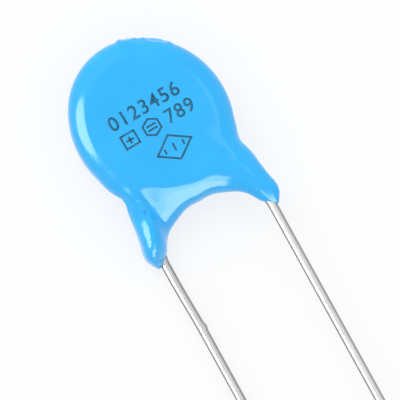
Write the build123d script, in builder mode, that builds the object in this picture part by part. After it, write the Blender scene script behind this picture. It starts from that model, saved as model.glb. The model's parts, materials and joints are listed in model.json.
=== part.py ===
"""Disc varistor, 7 mm class, dipped in blue epoxy, with two straight tinned leads.

It lies on its back. The rear face of the coating is on z = 0, the front face looks up +Z, and the
leads run along -Y. The origin is the middle of the disc on the rear face. Millimetres.
"""

from build123d import *
from math import atan2, degrees
import os

# ---- driving dimensions -------------------------------------------------------------------------

# Zinc oxide disc and the silver film fired on each of its faces
CERAMIC_DIAMETER = 7.0
CERAMIC_THICKNESS = 0.9
ELECTRODE_DIAMETER = 6.0
ELECTRODE_THICKNESS = 0.02

# Leads: round tinned wire, one on each face of the disc, bent inwards so that they cross. The
# corners (x, y) are the front lead's: in the tip of its drip, just off the edge of the disc where
# it comes over the face, and its inner end.
WIRE_DIAMETER = 0.45
LEAD_PITCH = 5.7
LEAD_AXIS_X = 0.26
LEAD_END_Y = -31.0
FIRST_CORNER_Y = -6.15
SECOND_CORNER = (2.46, -2.80)
INNER_END = (-0.43, 1.82)
BEND_RADIUS = 1.5

# Solder that holds each wire to its electrode
SOLDER_FILM = 0.03
SOLDER_LENGTH = 4.6
SOLDER_WIDTH = 1.3
SOLDER_HEIGHT = 0.34
SOLDER_TAPER = 38.0

# Dipped coating: an oval pillow, whose outline is four arcs that run into each other
COAT_THICKNESS = 2.8
COAT_LONG_RADIUS = 4.22
COAT_SHORT_RADIUS = 3.78
COAT_END_ARC = 3.45
COAT_LEAN = 106.0
COAT_RIM = 1.0
DRIP_AXIS_X = 0.19

# Values that follow from these
MID_Z = COAT_THICKNESS / 2
WIRE_LIFT = CERAMIC_THICKNESS / 2 + ELECTRODE_THICKNESS + SOLDER_FILM + WIRE_DIAMETER / 2
ELECTRODE_LIFT = CERAMIC_THICKNESS / 2
FRONT_LEAD_X = LEAD_AXIS_X + LEAD_PITCH / 2
TURN_AXIS = Axis((LEAD_AXIS_X, 0, MID_Z), (0, 1, 0))

# The epoxy that ran down the front lead, from the tip of the drip to the middle of the web between
# the two leads. Each row is one oval section of it: its centre from the middle between the drips and
# the disc's centre line (x, y), its height over the middle of the disc (z), the direction of its long
# axis, its half width and its half height. The rear lead's drip is the same, turned half round.
DRIP_SECTIONS = [
    (2.90, -6.16, 0.74, -38, 0.40, 0.36),
    (2.89, -5.25, 0.70, 10, 0.68, 0.60),
    (2.61, -4.49, 0.57, 32, 0.90, 0.82),
    (2.14, -3.72, 0.32, 50, 1.28, 1.07),
    (1.03, -3.43, 0.10, 68, 1.07, 1.28),
    (0.00, -3.40, 0.00, 90, 1.05, 1.38),
]

# The low ridge that the coating makes over a lead. Each row is one oval section: how far back along
# the lead it stands from the inner end, its half width and its half height.
RIDGE_SECTIONS = [
    (7.1, 0.42, 0.46),
    (6.1, 0.58, 0.63),
    (4.3, 1.20, 0.72),
    (2.3, 1.15, 0.71),
    (0.3, 0.80, 0.60),
]


def oval(half_width, half_height):
    """Ellipse in four quarters, so that every section of a loft starts at the same place."""
    for quarter in range(4):
        EllipticalCenterArc((0, 0), half_width, half_height, start_angle=90 * quarter, arc_size=90)


def upright_plane(origin, along):
    """Plane square to a level direction, with its own X axis level."""
    return Plane(origin=origin, x_dir=along.cross(Vector(0, 0, 1)), z_dir=along)


# ---- zinc oxide disc with its two electrodes ----------------------------------------------------

with BuildPart() as zinc_oxide_disc:
    with Locations((0, 0, MID_Z)):
        Cylinder(radius=CERAMIC_DIAMETER / 2, height=CERAMIC_THICKNESS)

with BuildPart() as front_electrode:
    with BuildSketch(Plane.XY.offset(MID_Z + ELECTRODE_LIFT)):
        Circle(ELECTRODE_DIAMETER / 2)
    extrude(amount=ELECTRODE_THICKNESS)

with BuildPart() as rear_electrode:
    with BuildSketch(Plane.XY.offset(MID_Z - ELECTRODE_LIFT)):
        Circle(ELECTRODE_DIAMETER / 2)
    extrude(amount=-ELECTRODE_THICKNESS)

# ---- leads --------------------------------------------------------------------------------------

with BuildPart() as front_lead:
    with BuildLine(Plane.XY.offset(MID_Z + WIRE_LIFT)):
        lead_line = FilletPolyline(
            (FRONT_LEAD_X, LEAD_END_Y),
            (FRONT_LEAD_X, FIRST_CORNER_Y),
            SECOND_CORNER,
            INNER_END,
            radius=BEND_RADIUS,
        )
    with BuildSketch(Plane(origin=lead_line @ 0, z_dir=lead_line % 0)):
        Circle(WIRE_DIAMETER / 2)
    sweep()

with BuildPart() as rear_lead:
    add(front_lead.part.rotate(TURN_AXIS, 180))

# ---- solder -------------------------------------------------------------------------------------

face_run = lead_line.edges().sort_by(Axis.Y)[-1]
solder_middle = face_run @ 1 - (face_run % 1) * SOLDER_LENGTH / 2
solder_turn = degrees(atan2((face_run % 1).Y, (face_run % 1).X))

with BuildPart() as front_solder:
    with BuildSketch(Plane.XY.offset(MID_Z + ELECTRODE_LIFT + ELECTRODE_THICKNESS)):
        with Locations(Location((solder_middle.X, solder_middle.Y), solder_turn)):
            SlotOverall(SOLDER_LENGTH, SOLDER_WIDTH)
    extrude(amount=SOLDER_HEIGHT, taper=SOLDER_TAPER)
    add(front_lead.part, mode=Mode.SUBTRACT)

with BuildPart() as rear_solder:
    add(front_solder.part.rotate(TURN_AXIS, 180))

# ---- dipped coating -----------------------------------------------------------------------------

# The pillow over the disc: flat faces and a full rounded rim. The two arcs at the ends of the oval
# have their centres end_centre from its middle, and the two along its flanks flank_centre.
end_centre = COAT_LONG_RADIUS - COAT_END_ARC
flank_centre = (end_centre**2 / (COAT_SHORT_RADIUS - COAT_END_ARC) + COAT_END_ARC - COAT_SHORT_RADIUS) / 2
flank_arc = COAT_SHORT_RADIUS + flank_centre
meeting = degrees(atan2(flank_centre, end_centre))

with BuildPart() as pillow:
    with BuildSketch(Plane.XY.rotated((0, 0, COAT_LEAN))):
        with BuildLine():
            CenterArc((end_centre, 0), COAT_END_ARC, -meeting, 2 * meeting)
            CenterArc((0, -flank_centre), flank_arc, meeting, 180 - 2 * meeting)
            CenterArc((-end_centre, 0), COAT_END_ARC, 180 - meeting, 2 * meeting)
            CenterArc((0, flank_centre), flank_arc, 180 + meeting, 180 - 2 * meeting)
        make_face()
    extrude(amount=COAT_THICKNESS)
    rims = pillow.edges().group_by(Axis.Z)
    fillet(rims[0] + rims[-1], radius=COAT_RIM)

# Both drips and the web between them, in one loft from the tip of one to the tip of the other
with BuildPart() as drips:
    front_half = [(DRIP_AXIS_X + x, y, MID_Z + z, turn, w, h) for x, y, z, turn, w, h in DRIP_SECTIONS]
    rear_half = [
        (DRIP_AXIS_X - x, y, MID_Z - z, 180 - turn, w, h)
        for x, y, z, turn, w, h in reversed(DRIP_SECTIONS[:-1])
    ]
    for x, y, z, turn, half_width, half_height in front_half + rear_half:
        with BuildSketch(upright_plane((x, y, z), Vector(0, 1, 0).rotate(Axis.Z, turn))):
            with BuildLine():
                oval(half_width, half_height)
            make_face()
    loft()

# The ridge over the front lead. Over the rear lead it is flush with the seat, and isn't drawn.
with BuildPart() as ridge:
    for back, half_width, half_height in RIDGE_SECTIONS:
        run = lead_line.length - back
        point = lead_line.position_at(run, position_mode=PositionMode.LENGTH)
        along = lead_line.tangent_at(run, position_mode=PositionMode.LENGTH)
        with BuildSketch(upright_plane(point, along)):
            with BuildLine():
                oval(half_width, half_height)
            make_face()
    loft()

with BuildPart() as epoxy_coating:
    add(pillow.part)
    add(drips.part)
    add(ridge.part)
    # Everything that was dipped leaves its own space inside
    add(zinc_oxide_disc.part, mode=Mode.SUBTRACT)
    add([front_electrode.part, rear_electrode.part], mode=Mode.SUBTRACT)
    add([front_lead.part, rear_lead.part], mode=Mode.SUBTRACT)
    add([front_solder.part, rear_solder.part], mode=Mode.SUBTRACT)

# ---- files --------------------------------------------------------------------------------------

PIECES = {
    "zinc_oxide_disc": zinc_oxide_disc,
    "front_electrode": front_electrode,
    "rear_electrode": rear_electrode,
    "front_solder": front_solder,
    "rear_solder": rear_solder,
    "front_lead": front_lead,
    "rear_lead": rear_lead,
    "epoxy_coating": epoxy_coating,
}

os.makedirs("parts", exist_ok=True)
for name, piece in PIECES.items():
    piece.part.label = name
    export_step(piece.part, f"parts/{name}.step")
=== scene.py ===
"""Finish of the disc varistor: the dipped epoxy skin, its ink marking, the tinned leads, and the
white table, lamps and camera it is shown with. Metres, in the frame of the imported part."""

import json
import math

import bmesh
import bpy
from mathutils import Matrix, Vector, noise
from mathutils.bvhtree import BVHTree
from mathutils.kdtree import KDTree


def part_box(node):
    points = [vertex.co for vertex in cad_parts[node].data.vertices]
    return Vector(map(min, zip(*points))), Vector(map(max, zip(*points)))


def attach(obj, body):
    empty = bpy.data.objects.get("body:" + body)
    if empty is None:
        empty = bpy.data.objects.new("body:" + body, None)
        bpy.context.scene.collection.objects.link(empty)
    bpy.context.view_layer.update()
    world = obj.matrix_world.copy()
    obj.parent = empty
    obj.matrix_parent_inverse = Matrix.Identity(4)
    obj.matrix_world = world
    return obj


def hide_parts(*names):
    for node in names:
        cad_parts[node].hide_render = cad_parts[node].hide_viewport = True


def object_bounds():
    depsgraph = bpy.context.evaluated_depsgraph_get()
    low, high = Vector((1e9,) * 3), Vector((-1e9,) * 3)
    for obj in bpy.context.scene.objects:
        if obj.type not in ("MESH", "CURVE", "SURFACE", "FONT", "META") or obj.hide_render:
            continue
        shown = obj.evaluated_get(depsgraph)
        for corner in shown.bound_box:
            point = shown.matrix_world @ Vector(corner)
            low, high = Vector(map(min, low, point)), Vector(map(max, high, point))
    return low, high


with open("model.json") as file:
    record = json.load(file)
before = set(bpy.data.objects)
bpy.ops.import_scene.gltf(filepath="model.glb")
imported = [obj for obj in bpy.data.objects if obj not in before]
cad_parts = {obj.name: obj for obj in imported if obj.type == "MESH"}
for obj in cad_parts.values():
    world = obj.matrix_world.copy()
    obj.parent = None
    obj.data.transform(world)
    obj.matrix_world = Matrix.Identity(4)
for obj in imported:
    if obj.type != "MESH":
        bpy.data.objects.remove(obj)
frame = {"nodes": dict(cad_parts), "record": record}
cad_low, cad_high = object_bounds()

MM = 0.001

# Points nearer than this to each other, in metres, are one
WELD = 1e-7

# ---- sizes taken from the frame -----------------------------------------------------------------

MOUNTS = {mount["name"]: mount for mount in frame["record"]["mounts"]}
WIRE_RADIUS = MOUNTS["front_lead_pin"]["dims"]["r_mm"] * MM
FRONT_LEAD = Vector(MOUNTS["front_lead_pin"]["pos_m"])
REAR_LEAD = Vector(MOUNTS["rear_lead_pin"]["pos_m"])
LEAD_AXIS_X = (FRONT_LEAD.x + REAR_LEAD.x) / 2
MID_Z = (FRONT_LEAD.z + REAR_LEAD.z) / 2
_, COAT_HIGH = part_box("epoxy_coating")

# ---- sizes of the wires and the dip -------------------------------------------------------------

# Lengths here are in mm, apart from those that are written times MM, which are in metres

# The leads' two bends inside the dip, as the solids have them: the corners (x, y) of the front lead
LEAD_CORNERS = ((3.11, -6.15), (2.46, -2.80), (-0.43, 1.82))
BEND_RADIUS = 1.5 * MM

# How finely a wire is made: sides round it, steps along a straight run and steps round a bend
WIRE_SIDES = 40
RUN_STEPS = 240
BEND_STEPS = 8

# The rear lead's bow to the left, over a run between two places along it, and the burr on it: its
# place, half its length, and how high it stands
LEAD_BOW = 0.07
BOW_RUN = (-10.2, -6.9)
BURR_PLACE = -9.75
BURR_HALF_LENGTH = 0.2
BURR_HEIGHT = 0.07

# The middle between the two drips, and the flat end of each drip, where the wire comes out of it
DRIP_AXIS_X = 0.19 * MM
DRIP_END = Vector((2.90 * MM, -6.16 * MM))
DRIP_END_TURN = math.radians(-38)

# Grain of the coating's skin while it is worked
SKIN_GRAIN = 0.12

# Rounds in which the wet dip runs into the hollows, and how far down and up it is wet
FILL_ROUNDS = 60
WET_FROM, WET_TO = -6.0, 3.0

# How much the dip is filled out at the two waists of its outline
LEFT_WAIST = 0.16
RIGHT_WAIST = 0.1

# How round the disc's rim is, and the outer edge of the rear drip's crest at its neck and below it
COAT_RIM = 1.0
NECK_EDGE = 0.55
CREST_EDGE = 0.85

# How wide and how deep the crest's inner edge is rounded
INNER_EDGE_WIDTH = 1.0
INNER_EDGE_DEPTH = 1.4

# How far the crest falls below the face at its neck, and then again at its tip
NECK_FALL = 0.36
TIP_FALL = 0.55

# The line where the crest ends towards the apron: its top (x, y) and how it slants
CREST_LINE_X, CREST_LINE_Y = -2.12, -2.3
CREST_LINE_SLANT = 0.08

# The apron of epoxy that hangs from the face down to the web: where it starts beside the crest, how
# its upper edge bends, its right side, its foot, and rounds of work on it
APRON_TOP = -2.2
APRON_BEND = 0.16
APRON_RIGHT = 1.4
APRON_FOOT = -4.12
APRON_ROUNDS = 120

# The front drip's tip: the part of it that falls away, and by what share of its height
FRONT_TIP_X, FRONT_TIP_Z = 1.5, 1.6
FRONT_TIP_FALL = 0.1

# The chipped stretch of the rim: how much it is swollen, and how high its lumps are
CHIP_SWELL = 0.02
CHIP_LUMP = 0.12


# ---- small helpers ------------------------------------------------------------------------------


def new_object(name, bm):
    """Object at the origin that holds the bmesh's geometry, shaded smooth."""
    mesh = bpy.data.meshes.new(name)
    bm.to_mesh(mesh)
    bm.free()
    mesh.shade_smooth()
    piece = bpy.data.objects.new(name, mesh)
    bpy.context.scene.collection.objects.link(piece)
    return piece


def smooth_step(low, high, value):
    """0 below low, 1 above high, and an even curve between."""
    share = min(max((value - low) / (high - low), 0), 1)
    return share * share * (3 - 2 * share)


# ---- materials ----------------------------------------------------------------------------------


def srgb(red, green, blue):
    """Linear colour, with alpha, from display values of 0 to 255."""
    linear = []
    for value in (red, green, blue):
        share = value / 255
        linear.append(share / 12.92 if share <= 0.04045 else ((share + 0.055) / 1.055) ** 2.4)
    return (*linear, 1)


def uneven_surface_group():
    """Slow and fine unevenness of a dipped or drawn surface: two masks and a bumped normal."""
    group = bpy.data.node_groups.new("uneven_surface", "ShaderNodeTree")
    face = group.interface
    for name, kind, default in (
        ("Slow Size", "NodeSocketFloat", 600),
        ("Fine Size", "NodeSocketFloat", 6000),
        ("Height", "NodeSocketFloat", 0.00001),
    ):
        socket = face.new_socket(name, in_out="INPUT", socket_type=kind)
        socket.default_value = default
    face.new_socket("Vector", in_out="INPUT", socket_type="NodeSocketVector")
    face.new_socket("Slow", in_out="OUTPUT", socket_type="NodeSocketFloat")
    face.new_socket("Fine", in_out="OUTPUT", socket_type="NodeSocketFloat")
    face.new_socket("Normal", in_out="OUTPUT", socket_type="NodeSocketVector")
    nodes, links = group.nodes, group.links
    inputs = nodes.new("NodeGroupInput")
    outputs = nodes.new("NodeGroupOutput")
    slow = nodes.new("ShaderNodeTexNoise")
    slow.inputs["Detail"].default_value = 2
    fine = nodes.new("ShaderNodeTexNoise")
    fine.inputs["Detail"].default_value = 3
    bump = nodes.new("ShaderNodeBump")
    bump.inputs["Strength"].default_value = 1
    for texture, size in ((slow, "Slow Size"), (fine, "Fine Size")):
        links.new(inputs.outputs["Vector"], texture.inputs["Vector"])
        links.new(inputs.outputs[size], texture.inputs["Scale"])
    links.new(inputs.outputs["Height"], bump.inputs["Distance"])
    links.new(fine.outputs["Fac"], bump.inputs["Height"])
    links.new(slow.outputs["Fac"], outputs.inputs["Slow"])
    links.new(fine.outputs["Fac"], outputs.inputs["Fine"])
    links.new(bump.outputs["Normal"], outputs.inputs["Normal"])
    return group


def new_material(name):
    """Material with its node tree, its Principled shader and Object coordinates."""
    material = bpy.data.materials.new(name)
    material.use_nodes = True
    nodes = material.node_tree.nodes
    shader = nodes["Principled BSDF"]
    place = nodes.new("ShaderNodeTexCoord")
    return material, nodes, material.node_tree.links, shader, place


def unevenness(nodes, links, shader, uneven, vector, slow, fine, height):
    """Unevenness of one finish: slow and fine grains to a metre, and how high the fine ones stand.
    It bumps the shader's normal, and gives the node with the masks."""
    surface = nodes.new("ShaderNodeGroup")
    surface.node_tree = uneven
    surface.inputs["Slow Size"].default_value = slow
    surface.inputs["Fine Size"].default_value = fine
    surface.inputs["Height"].default_value = height
    links.new(vector, surface.inputs["Vector"])
    links.new(surface.outputs["Normal"], shader.inputs["Normal"])
    return surface


def blend_colours(nodes, links, factor, low, high, first, second):
    """Colour that goes from first to second as factor goes from low to high."""
    ramp = nodes.new("ShaderNodeValToRGB")
    ramp.color_ramp.elements[0].position = low
    ramp.color_ramp.elements[0].color = first
    ramp.color_ramp.elements[1].position = high
    ramp.color_ramp.elements[1].color = second
    links.new(factor, ramp.inputs["Fac"])
    return ramp.outputs["Color"]


def spread_value(nodes, links, factor, low, high):
    """Value between low and high, led by a factor of 0.3 to 0.7."""
    spread = nodes.new("ShaderNodeMapRange")
    spread.inputs["From Min"].default_value = 0.3
    spread.inputs["From Max"].default_value = 0.7
    spread.inputs["To Min"].default_value = low
    spread.inputs["To Max"].default_value = high
    links.new(factor, spread.inputs["Value"])
    return spread.outputs["Result"]


# Sockets of a Mix node that mixes colours: its share, its two colours and its result
MIX_SHARE, MIX_FIRST, MIX_SECOND, MIX_RESULT = 0, 6, 7, 2

# The one dark speck in the dip, on the rear drip: its place, its core and how far it fades out, all
# in mm
SPECK = (-2.42, -3.65, 2.5)
SPECK_CORE = 0.03
SPECK_FADE = 0.14


def with_speck(nodes, links, place, colour):
    """The dip's colour, darker at the speck."""
    away = nodes.new("ShaderNodeVectorMath")
    away.operation = "DISTANCE"
    away.inputs[1].default_value = [part * MM for part in SPECK]
    links.new(place.outputs["Object"], away.inputs[0])
    dirt = nodes.new("ShaderNodeMapRange")
    dirt.inputs["From Min"].default_value = SPECK_CORE * MM
    dirt.inputs["From Max"].default_value = SPECK_FADE * MM
    dirt.inputs["To Min"].default_value = 1
    dirt.inputs["To Max"].default_value = 0
    links.new(away.outputs["Value"], dirt.inputs["Value"])
    marked = nodes.new("ShaderNodeMix")
    marked.data_type = "RGBA"
    marked.inputs[MIX_SECOND].default_value = srgb(8, 158, 226)
    links.new(dirt.outputs["Result"], marked.inputs[MIX_SHARE])
    links.new(colour, marked.inputs[MIX_FIRST])
    return marked.outputs[MIX_RESULT]


def blue_epoxy(uneven):
    """Glossy light-blue dip: a slightly cloudy pigment under a smooth skin, with one speck."""
    material, nodes, links, shader, place = new_material("blue_epoxy")
    surface = unevenness(
        nodes, links, shader, uneven, place.outputs["Object"], 420, 5200, 2.2e-6
    )
    colour = blend_colours(
        nodes, links, surface.outputs["Slow"], 0.3, 0.7, srgb(10, 178, 250), srgb(20, 184, 255)
    )
    links.new(with_speck(nodes, links, place, colour), shader.inputs["Base Color"])
    roughness = spread_value(nodes, links, surface.outputs["Fine"], 0.14, 0.2)
    links.new(roughness, shader.inputs["Roughness"])
    shader.inputs["IOR"].default_value = 1.55
    return material


def tinned_wire(uneven):
    """Tin plate on drawn wire: long faint draw marks, a soft mottle, and painted shade that darkens
    the colour towards the sides, in place of the darker reflections there.
    """
    material, nodes, links, shader, place = new_material("tinned_wire")
    drawn = nodes.new("ShaderNodeMapping")
    drawn.inputs["Scale"].default_value = (1, 0.06, 1)
    links.new(place.outputs["Object"], drawn.inputs["Vector"])
    surface = unevenness(
        nodes, links, shader, uneven, drawn.outputs["Vector"], 1500, 14000, 0.7e-6
    )
    bright = blend_colours(
        nodes, links, surface.outputs["Slow"], 0.3, 0.7, srgb(190, 191, 192), srgb(208, 208, 209)
    )
    # Painted shade: the colour is darkened where the wire turns away from the eye, standing in for
    # dark reflections along its edges
    grazing = nodes.new("ShaderNodeLayerWeight")
    grazing.inputs["Blend"].default_value = 0.5
    darker = blend_colours(
        nodes, links, grazing.outputs["Facing"], 0.08, 0.38, (1, 1, 1, 1), (0.5, 0.49, 0.49, 1)
    )
    painted_edge_shade = nodes.new("ShaderNodeMix")
    painted_edge_shade.data_type = "RGBA"
    painted_edge_shade.blend_type = "MULTIPLY"
    painted_edge_shade.inputs[MIX_SHARE].default_value = 1
    links.new(bright, painted_edge_shade.inputs[MIX_FIRST])
    links.new(darker, painted_edge_shade.inputs[MIX_SECOND])
    links.new(painted_edge_shade.outputs[MIX_RESULT], shader.inputs["Base Color"])
    roughness = spread_value(nodes, links, surface.outputs["Fine"], 0.26, 0.32)
    links.new(roughness, shader.inputs["Roughness"])
    shader.inputs["Metallic"].default_value = 1
    return material


def marking_ink(uneven):
    """Dark blue-grey marking, a little broken where the ink lies thin."""
    material, nodes, links, shader, place = new_material("marking_ink")
    surface = unevenness(
        nodes, links, shader, uneven, place.outputs["Object"], 3000, 16000, 2e-6
    )
    colour = blend_colours(
        nodes, links, surface.outputs["Slow"], 0.35, 0.65, srgb(6, 84, 114), srgb(16, 106, 142)
    )
    links.new(colour, shader.inputs["Base Color"])
    shader.inputs["Roughness"].default_value = 0.45
    shader.inputs["Specular IOR Level"].default_value = 0.25
    return material


def hidden_material(uneven, name, low, high, roughness, metallic, grain):
    """Finish of a piece inside the dip: two near shades, mottled, and an even roughness."""
    material, nodes, links, shader, place = new_material(name)
    surface = unevenness(
        nodes, links, shader, uneven, place.outputs["Object"], grain, 6 * grain, 3e-6
    )
    colour = blend_colours(nodes, links, surface.outputs["Slow"], 0.3, 0.7, low, high)
    links.new(colour, shader.inputs["Base Color"])
    shader.inputs["Roughness"].default_value = roughness
    shader.inputs["Metallic"].default_value = metallic
    return material


# ---- dipped coating -----------------------------------------------------------------------------


def sealed_coating():
    """The coating with everything that it holds, joined as one closed solid without hollows."""
    bm = bmesh.new()
    for name in (
        "epoxy_coating",
        "zinc_oxide_disc",
        "front_electrode",
        "rear_electrode",
        "front_solder",
        "rear_solder",
    ):
        bm.from_mesh(frame["nodes"][name].data)
    for name, side in (("front_lead", 1), ("rear_lead", -1)):
        plug = bmesh.new()
        plug.from_mesh(frame["nodes"][name].data)
        bmesh.ops.remove_doubles(plug, verts=plug.verts, dist=WELD)
        end = Vector((DRIP_AXIS_X + side * DRIP_END.x, DRIP_END.y, 0))
        outward = Vector((side * math.sin(DRIP_END_TURN), -math.cos(DRIP_END_TURN), 0))
        everything = plug.verts[:] + plug.edges[:] + plug.faces[:]
        bmesh.ops.bisect_plane(
            plug, geom=everything, plane_co=end, plane_no=outward, clear_outer=True
        )
        rim = [edge for edge in plug.edges if edge.is_boundary]
        bmesh.ops.contextual_create(plug, geom=rim)
        part = bpy.data.meshes.new("plug")
        plug.to_mesh(part)
        plug.free()
        bm.from_mesh(part)
    bmesh.ops.remove_doubles(bm, verts=bm.verts, dist=WELD)
    return bm


def even_skin(bm, grain):
    """One closed skin of even grain round a bmesh, remeshed with a millimetre drawn as a metre."""
    bmesh.ops.scale(bm, vec=(1 / MM,) * 3, verts=bm.verts)
    rough = new_object("rough_skin", bm)
    remesh = rough.modifiers.new("even_grain", "REMESH")
    remesh.mode = "VOXEL"
    remesh.voxel_size = grain
    graph = bpy.context.evaluated_depsgraph_get()
    even = bpy.data.meshes.new_from_object(rough.evaluated_get(graph))
    bpy.data.objects.remove(rough)
    skin = bmesh.new()
    skin.from_mesh(even)
    bmesh.ops.scale(skin, vec=(MM,) * 3, verts=skin.verts)
    return skin


def smooth(bm, verts, rounds):
    """Evens the surface out by moving each vertex halfway to the middle of its neighbours."""
    for _ in range(rounds):
        bmesh.ops.smooth_vert(
            bm, verts=verts, factor=0.5, use_axis_x=True, use_axis_y=True, use_axis_z=True
        )


def fill_hollows(bm):
    """The wet dip runs into the hollows between disc, web and drips. Full places stay put."""
    wet = [v for v in bm.verts if WET_FROM * MM < v.co.y < WET_TO * MM]
    around = [[edge.other_vert(v) for edge in v.link_edges] for v in wet]
    for _ in range(FILL_ROUNDS):
        bm.normal_update()
        hollow = []
        for v, near in zip(wet, around):
            middle = sum((n.co for n in near), Vector()) / len(near)
            if (middle - v.co).dot(v.normal) > 0:
                hollow.append(v)
        smooth(bm, hollow, 3)


def fill_waists(bm):
    """The dip is fuller where the disc runs into the drips: the two waists of the outline."""
    for v in bm.verts:
        x, y, _ = v.co / MM
        left = smooth_step(1.0, 2.3, -y) * smooth_step(-4.0, -2.3, y) * smooth_step(1.9, 2.8, -x)
        right = smooth_step(1.6, 2.4, -y) * smooth_step(-3.2, -2.5, y) * smooth_step(2.2, 3.1, x)
        v.co.x += (RIGHT_WAIST * right - LEFT_WAIST * left) * MM


def round_front_tip(bm):
    """The front drip's front falls away a little at its tip."""
    for v in bm.verts:
        x, y, z = v.co / MM
        if x > FRONT_TIP_X and z > FRONT_TIP_Z:
            v.co.z -= FRONT_TIP_FALL * smooth_step(5.6, 6.4, -y) * (z - FRONT_TIP_Z) * MM


def roughen_rim(bm):
    """On the upper right the rim is chipped: small lumps and notches, with a step at their end."""
    for v in bm.verts:
        x, y, z = v.co / MM
        bearing = math.degrees(math.atan2(y, x))
        share = smooth_step(45.5, 47.5, bearing) * smooth_step(-91, -84, -bearing)
        share *= smooth_step(3.35, 3.75, math.hypot(x, y)) * smooth_step(0.5, 0.9, z)
        if share > 0:
            lump = noise.noise(Vector((x * 3.2, y * 3.2, z * 1.6)))
            outward = Vector((x, y, 0)).normalized()
            v.co += outward * (CHIP_SWELL + CHIP_LUMP * lump) * share * MM
        v.co.y = min(v.co.y, COAT_HIGH.y)


def crest_side(y):
    """Where the rear drip's crest ends towards the apron, in mm."""
    return CREST_LINE_X - CREST_LINE_SLANT * (y - CREST_LINE_Y)


def swell_rear_drip(bm):
    """The rear drip's front is full: a crest as high as the face, round at its edges and tip."""
    bm.normal_update()
    rim = [v for v in bm.verts if abs(v.normal.z) < 0.3 and v.co.y < -1.5 * MM]
    nearest = KDTree(len(rim))
    for index, v in enumerate(rim):
        nearest.insert((v.co.x, v.co.y, 0), index)
    nearest.balance()
    edge = [(v.co / MM, v.normal.xy.normalized()) for v in rim]
    face = COAT_HIGH.z / MM
    for v in bm.verts:
        x, y, z = v.co / MM
        share = smooth_step(0.7, 2.4, -y) * smooth_step(0, 0.25, crest_side(y) - x)
        if z < 0.75 or share == 0:
            continue
        place, outward = edge[nearest.find((v.co.x, v.co.y, 0))[1]]
        inner = smooth_step(-0.2, 0.5, outward.x)
        outer = COAT_RIM + (NECK_EDGE - COAT_RIM) * smooth_step(1.8, 2.8, -y)
        outer += (CREST_EDGE - NECK_EDGE) * smooth_step(2.8, 4.2, -y)
        wide = outer + (INNER_EDGE_WIDTH - outer) * inner
        deep = outer + (INNER_EDGE_DEPTH - outer) * inner
        inside = min(max(outward.dot(place.xy - Vector((x, y))), 0) / wide, 1)
        crest = face - NECK_FALL * smooth_step(2.4, 3.95, -y)
        crest -= TIP_FALL * smooth_step(5.2, 6.4, -y)
        fuller = crest - deep * (1 - math.sqrt(1 - (1 - inside) ** 2))
        v.co.z = max(z + (fuller - z) * share, z) * MM


def hang_apron(bm):
    """Between face, rear drip's crest and web's edge the epoxy hangs as a taut sheet."""
    apron = []
    for v in bm.verts:
        x, y, z = v.co / MM
        across = x - CREST_LINE_X
        top = APRON_TOP - across + APRON_BEND * across * across
        if z * MM > MID_Z and crest_side(y) < x < APRON_RIGHT and APRON_FOOT < y < top:
            apron.append(v)
    smooth(bm, apron, APRON_ROUNDS)


def dipped_coating():
    """The visible skin of the epoxy."""
    bm = even_skin(sealed_coating(), SKIN_GRAIN)
    smooth(bm, bm.verts, 2)
    fill_hollows(bm)
    fill_waists(bm)
    swell_rear_drip(bm)
    hang_apron(bm)
    round_front_tip(bm)
    front_of_web = [v for v in bm.verts if v.co.z > MID_Z and v.co.y < -2.2 * MM]
    smooth(bm, front_of_web, 4)
    arch = [v for v in bm.verts if v.co.y < -3.2 * MM and abs(v.co.x) < 2.2 * MM]
    smooth(bm, arch, 6)
    smooth(bm, bm.verts, 2)
    roughen_rim(bm)
    skin = new_object("coating_skin", bm)
    finer = skin.modifiers.new("finer", "SUBSURF")
    finer.levels = finer.render_levels = 1
    return skin


# ---- marking ------------------------------------------------------------------------------------

# How far the marking is turned, how wide its lines are and how far the ink stands up, in mm
MARK_TURN = math.radians(1.9)
MARK_LINE = 0.095
INK_PROUD = 0.006


def digits(ink, text, low, high):
    """Adds a row of plain digits, drawn out to a box given by its low and high corners in mm."""
    curve = bpy.data.curves.new("digits", "FONT")
    curve.body = text
    curve.space_character = 1.12
    curve.resolution_u = 4
    curve.offset = 0.012
    writing = bpy.data.objects.new("digits", curve)
    bpy.context.scene.collection.objects.link(writing)
    graph = bpy.context.evaluated_depsgraph_get()
    flat = bpy.data.meshes.new_from_object(writing.evaluated_get(graph))
    bpy.data.objects.remove(writing)
    row = bmesh.new()
    row.from_mesh(flat)
    xs = [v.co.x for v in row.verts]
    ys = [v.co.y for v in row.verts]
    bmesh.ops.translate(row, verts=row.verts, vec=(-min(xs), -min(ys), 0))
    wide = (high[0] - low[0]) / (max(xs) - min(xs))
    tall = (high[1] - low[1]) / (max(ys) - min(ys))
    bmesh.ops.scale(row, verts=row.verts, vec=(wide, tall, 1))
    bmesh.ops.translate(row, verts=row.verts, vec=(*low, 0))
    row.to_mesh(flat)
    row.free()
    ink.from_mesh(flat)


def outline_sign(ink, sides, middle, size, turn):
    """Adds a plain many-sided sign drawn as an outline, given its middle and its size in mm."""
    verts = bmesh.ops.create_circle(ink, cap_ends=True, radius=0.5, segments=sides)["verts"]
    bmesh.ops.rotate(ink, verts=verts, matrix=Matrix.Rotation(math.radians(turn), 3, "Z"))
    bmesh.ops.scale(ink, verts=verts, vec=(*size, 1))
    bmesh.ops.translate(ink, verts=verts, vec=(*middle, 0))
    inner = [verts[0].link_faces[0]]
    bmesh.ops.inset_individual(ink, faces=inner, thickness=MARK_LINE, use_even_offset=True)
    bmesh.ops.delete(ink, geom=inner, context="FACES_ONLY")


def bar(ink, middle, size):
    """Adds a plain bar, given its middle and its size in mm."""
    verts = bmesh.ops.create_grid(ink, x_segments=1, y_segments=1, size=0.5)["verts"]
    bmesh.ops.scale(ink, verts=verts, vec=(*size, 1))
    bmesh.ops.translate(ink, verts=verts, vec=(*middle, 0))


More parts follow.
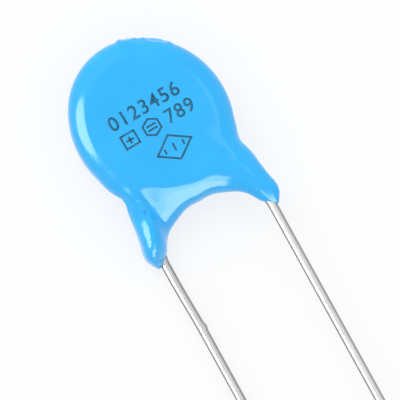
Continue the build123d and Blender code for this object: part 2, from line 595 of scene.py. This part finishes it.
def marking(skin):
    """Plain marking printed on the face: two rows of counting digits and three plain signs."""
    bm = bmesh.new()
    # A row of digits has the low and high corners of its box, a sign its number of sides, middle,
    # whole size and turn in degrees, and a bar its middle and size, all in mm
    digits(bm, "0123456", (-1.93, 0.42), (1.83, 1.14))
    outline_sign(bm, 4, (-1.40, -0.27), (1.15, 1.05), 45)
    bar(bm, (-1.40, -0.27), (0.40, MARK_LINE))
    bar(bm, (-1.40, -0.27), (MARK_LINE, 0.36))
    outline_sign(bm, 6, (-0.20, -0.27), (1.02, 0.98), 0)
    bar(bm, (-0.20, -0.17), (0.50, MARK_LINE))
    bar(bm, (-0.20, -0.37), (0.50, MARK_LINE))
    digits(bm, "789", (0.60, -0.60), (2.06, 0.12))
    outline_sign(bm, 4, (0.24, -1.62), (2.0, 1.4), 0)
    for x in (-0.25, 0.24, 0.73):
        bar(bm, (x, -1.62), (MARK_LINE, 0.40 if x == 0.24 else 0.26))
    long_edges = [edge for edge in bm.edges if edge.calc_length() > 0.2]
    bmesh.ops.subdivide_edges(bm, edges=long_edges, cuts=4)
    bmesh.ops.triangulate(bm, faces=bm.faces)
    bmesh.ops.rotate(bm, verts=bm.verts, matrix=Matrix.Rotation(MARK_TURN, 3, "Z"))
    bmesh.ops.scale(bm, verts=bm.verts, vec=(MM, MM, 1))
    face = BVHTree.FromObject(skin, bpy.context.evaluated_depsgraph_get())
    for v in bm.verts:
        v.co.z = 10 * MM
        place, *_ = face.ray_cast(v.co, Vector((0, 0, -1)))
        v.co.z = place.z + INK_PROUD * MM
    bmesh.ops.dissolve_degenerate(bm, edges=bm.edges, dist=WELD)
    sunk = bmesh.ops.extrude_face_region(bm, geom=bm.faces, use_keep_orig=True)["geom"]
    sunk = [g for g in sunk if isinstance(g, bmesh.types.BMVert)]
    bmesh.ops.translate(bm, verts=sunk, vec=(0, 0, -2 * INK_PROUD * MM))
    bmesh.ops.recalc_face_normals(bm, faces=bm.faces)
    return new_object("marking", bm)


# ---- leads --------------------------------------------------------------------------------------


def stretch(bm, rim, run, steps):
    """Draws a ring of edges out along a run, in even steps, and gives the last ring."""
    for _ in range(steps):
        grown = bmesh.ops.extrude_edge_only(bm, edges=rim)["geom"]
        far = {g for g in grown if isinstance(g, bmesh.types.BMVert)}
        bmesh.ops.translate(bm, verts=list(far), vec=run / steps)
        edges = (g for g in grown if isinstance(g, bmesh.types.BMEdge))
        rim = [edge for edge in edges if far.issuperset(edge.verts)]
    return rim


def bow_and_burr(bm, end):
    """The rear lead leaves the dip a little to the left, and has a small burr where it was held."""
    for v in bm.verts:
        y = v.co.y / MM
        burr = max(1 - abs(y - BURR_PLACE) / BURR_HALF_LENGTH, 0)
        burr *= smooth_step(0.05, 0.2, (v.co.x - end.x) / MM)
        v.co.x += (BURR_HEIGHT * burr - LEAD_BOW * smooth_step(*BOW_RUN, y)) * MM


def lead(name, end, side):
    """Tinned wire from its cut end to the disc, bent twice inside the dip. The front lead's side is
    1, and the rear lead's -1."""
    bm = bmesh.new()
    ring = bmesh.ops.create_circle(
        bm, cap_ends=True, radius=WIRE_RADIUS, segments=WIRE_SIDES
    )["verts"]
    bmesh.ops.rotate(bm, verts=ring, matrix=Matrix.Rotation(math.radians(90), 3, "X"))
    bmesh.ops.translate(bm, verts=ring, vec=end)
    rim = bm.edges[:]
    corners = [
        Vector((LEAD_AXIS_X + side * (x * MM - LEAD_AXIS_X), y * MM, end.z))
        for x, y in LEAD_CORNERS
    ]
    start, heading = end.copy(), Vector((0, 1, 0))
    for corner, following in zip(corners, corners[1:] + [None]):
        if following is None:
            stretch(bm, rim, heading * (corner - start).length, 1)
            break
        turn = heading.xy.angle_signed((following - corner).xy)
        lead_in = BEND_RADIUS * math.tan(abs(turn) / 2)
        rim = stretch(bm, rim, heading * ((corner - start).length - lead_in), RUN_STEPS)
        inward = heading.cross(Vector((0, 0, 1))) * math.copysign(BEND_RADIUS, turn)
        bent = bmesh.ops.spin(
            bm,
            geom=rim,
            cent=corner - heading * lead_in + inward,
            axis=(0, 0, 1),
            angle=-turn,
            steps=BEND_STEPS,
            use_merge=False,
            use_normal_flip=False,
            use_duplicate=False,
        )["geom_last"]
        rim = [g for g in bent if isinstance(g, bmesh.types.BMEdge)]
        heading = (following - corner).normalized()
        start = corner + heading * lead_in
    far = {vert for edge in bm.edges if edge.is_boundary for vert in edge.verts}
    bmesh.ops.contextual_create(bm, geom=list(far))
    bmesh.ops.recalc_face_normals(bm, faces=bm.faces)
    if side < 0:
        bow_and_burr(bm, end)
    return new_object(name, bm)


# ---- table, lamps and camera --------------------------------------------------------------------

# The view: its turn round the upright, its width at its centre, how far off the eye is, the point
# it looks at, how far it leans from straight above, and the sensor's width in mm
VIEW_ROLL = math.radians(28.7)
VIEW_WIDTH = 19.047619 * MM
VIEW_DISTANCE = 260 * MM
VIEW_CENTRE = Vector((0.234, -4.372, 1.4)) * MM
VIEW_LEAN = math.radians(4)
SENSOR_WIDTH = 36

# The table: half its side in metres, how white it is, and how much of it is plain white where it is
# looked at
TABLE_SIZE = 1.5
TABLE_WHITE = 0.95
TABLE_GLOW = 0.75


def seen_directly(nodes, links):
    """1 where the eye, a mirror or a clear body looks at it, and 0 where it only gives light."""
    path = nodes.new("ShaderNodeLightPath")
    first = nodes.new("ShaderNodeMath")
    first.operation = "MAXIMUM"
    second = nodes.new("ShaderNodeMath")
    second.operation = "MAXIMUM"
    links.new(path.outputs["Is Camera Ray"], first.inputs[0])
    links.new(path.outputs["Is Glossy Ray"], first.inputs[1])
    links.new(first.outputs[0], second.inputs[0])
    links.new(path.outputs["Is Transmission Ray"], second.inputs[1])
    return second.outputs[0]


def white_table():
    """Plain white sweep that the part lies on. It shows nearly white and keeps a light shadow."""
    bm = bmesh.new()
    bmesh.ops.create_grid(bm, x_segments=1, y_segments=1, size=TABLE_SIZE)
    bmesh.ops.translate(bm, verts=bm.verts, vec=(0, 0, cad_low.z))
    table = new_object("white_table", bm)
    material, nodes, links, shader, _ = new_material("white_table")
    shader.inputs["Base Color"].default_value = (TABLE_WHITE, TABLE_WHITE, TABLE_WHITE, 1)
    shader.inputs["Roughness"].default_value = 0.9
    shader.inputs["Specular IOR Level"].default_value = 0
    table.data.materials.append(material)
    glow = nodes.new("ShaderNodeEmission")
    glow.inputs["Color"].default_value = (1, 1, 1, 1)
    glow.inputs["Strength"].default_value = 1
    share = nodes.new("ShaderNodeMath")
    share.operation = "MULTIPLY"
    share.inputs[1].default_value = TABLE_GLOW
    mix = nodes.new("ShaderNodeMixShader")
    links.new(seen_directly(nodes, links), share.inputs[0])
    links.new(share.outputs[0], mix.inputs["Fac"])
    links.new(shader.outputs[0], mix.inputs[1])
    links.new(glow.outputs[0], mix.inputs[2])
    links.new(mix.outputs[0], nodes["Material Output"].inputs["Surface"])


def lamp(name, azimuth, elevation, distance, width, height, radiance):
    """Rectangular lamp that faces the part. Its azimuth and elevation are in degrees, and azimuth
    is counted from the right-hand side of the view. Its distance and size are in metres."""
    data = bpy.data.lights.new(name, "AREA")
    data.shape = "RECTANGLE"
    data.size, data.size_y = width, height
    data.energy = radiance * width * height * math.pi
    turn = math.radians(azimuth) - VIEW_ROLL
    rise = math.radians(elevation)
    level = math.cos(rise)
    back = Vector((math.cos(turn) * level, math.sin(turn) * level, math.sin(rise)))
    holder = bpy.data.objects.new(name, data)
    holder.location = VIEW_CENTRE + back * distance
    holder.rotation_mode = "QUATERNION"
    holder.rotation_quaternion = back.to_track_quat("Z", "Y")
    bpy.context.scene.collection.objects.link(holder)
    return holder


def highlight_box(name, azimuth, elevation, distance, width, height, radiance, shape):
    """Softbox that draws a highlight on the gloss and adds nothing to the level of light."""
    box = lamp(name, azimuth, elevation, distance, width, height, radiance)
    box.data.shape = shape
    box.visible_diffuse = False
    box.visible_camera = False


def room_light(strength):
    """Even pale room: white where it is looked at, and of the given strength as light."""
    world = bpy.data.worlds.new("room")
    bpy.context.scene.world = world
    world.use_nodes = True
    nodes, links = world.node_tree.nodes, world.node_tree.links
    background = nodes["Background"]
    background.inputs["Color"].default_value = (1, 1, 1, 1)
    level = nodes.new("ShaderNodeMapRange")
    level.inputs["To Min"].default_value = strength
    level.inputs["To Max"].default_value = 1
    links.new(seen_directly(nodes, links), level.inputs["Value"])
    links.new(level.outputs["Result"], background.inputs["Strength"])


def camera():
    """Long lens, nearly straight above, turned so that the leads run down to the right."""
    lens = bpy.data.cameras.new("camera")
    lens.sensor_width = SENSOR_WIDTH
    lens.lens = SENSOR_WIDTH * VIEW_DISTANCE / VIEW_WIDTH
    lens.clip_start, lens.clip_end = 0.01, 10
    holder = bpy.data.objects.new("camera", lens)
    right = Vector((math.cos(VIEW_ROLL), -math.sin(VIEW_ROLL), 0))
    up = Vector((math.sin(VIEW_ROLL), math.cos(VIEW_ROLL), 0))
    towards = -(right + up).normalized()
    back = (Vector((0, 0, math.cos(VIEW_LEAN))) + towards * math.sin(VIEW_LEAN)).normalized()
    right = (right - back * right.dot(back)).normalized()
    up = back.cross(right)
    turn = Matrix((right, up, back)).transposed().to_4x4()
    holder.matrix_world = Matrix.Translation(VIEW_CENTRE + back * VIEW_DISTANCE) @ turn
    bpy.context.scene.collection.objects.link(holder)
    bpy.context.scene.camera = holder


# ---- assembly -----------------------------------------------------------------------------------

camera()
uneven = uneven_surface_group()
epoxy = blue_epoxy(uneven)
tin = tinned_wire(uneven)
ink = marking_ink(uneven)

skin = dipped_coating()
skin.data.materials.append(epoxy)
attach(skin, "root")
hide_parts("epoxy_coating")

print_on_face = marking(skin)
print_on_face.data.materials.append(ink)
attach(print_on_face, "root")

for name, end, side in (("front_lead", FRONT_LEAD, 1), ("rear_lead", REAR_LEAD, -1)):
    wire = lead(name + "_wire", end, side)
    wire.data.materials.append(tin)
    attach(wire, "root")
    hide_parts(name)

# Finishes of the pieces inside: colours, roughness, metal or not, and mottle
ceramic = hidden_material(
    uneven, "zinc_oxide", srgb(62, 64, 58), srgb(84, 86, 78), 0.75, 0, 2400
)
silver = hidden_material(
    uneven, "fired_silver", srgb(196, 195, 190), srgb(216, 215, 210), 0.42, 1, 1800
)
solder = hidden_material(
    uneven, "solder", srgb(158, 160, 162), srgb(184, 185, 187), 0.3, 1, 1500
)
for name, finish in (
    ("zinc_oxide_disc", ceramic),
    ("front_electrode", silver),
    ("rear_electrode", silver),
    ("front_solder", solder),
    ("rear_solder", solder),
):
    for slot in frame["nodes"][name].material_slots:
        slot.material = finish

white_table()
# Azimuth, elevation, distance, width, height and radiance of each lamp
key = lamp("key_light", 130, 55, 0.60, 0.40, 0.40, 1.8)
key.visible_glossy = False
highlight_box("left_highlight", 188, 34, 0.30, 0.20, 0.32, 4.4, "ELLIPSE")
highlight_box("left_glow", 192, 34, 0.32, 0.24, 0.30, 1.3, "ELLIPSE")
highlight_box("near_highlight", 299, 16, 0.30, 0.35, 0.17, 6, "RECTANGLE")
highlight_box("near_glow", 298, 43, 0.32, 0.29, 0.12, 4.5, "RECTANGLE")
highlight_box("right_glow", 30, 70, 0.32, 0.09, 0.09, 0.7, "ELLIPSE")
room_light(0.84)

scene = bpy.context.scene
scene.view_settings.view_transform = "Standard"
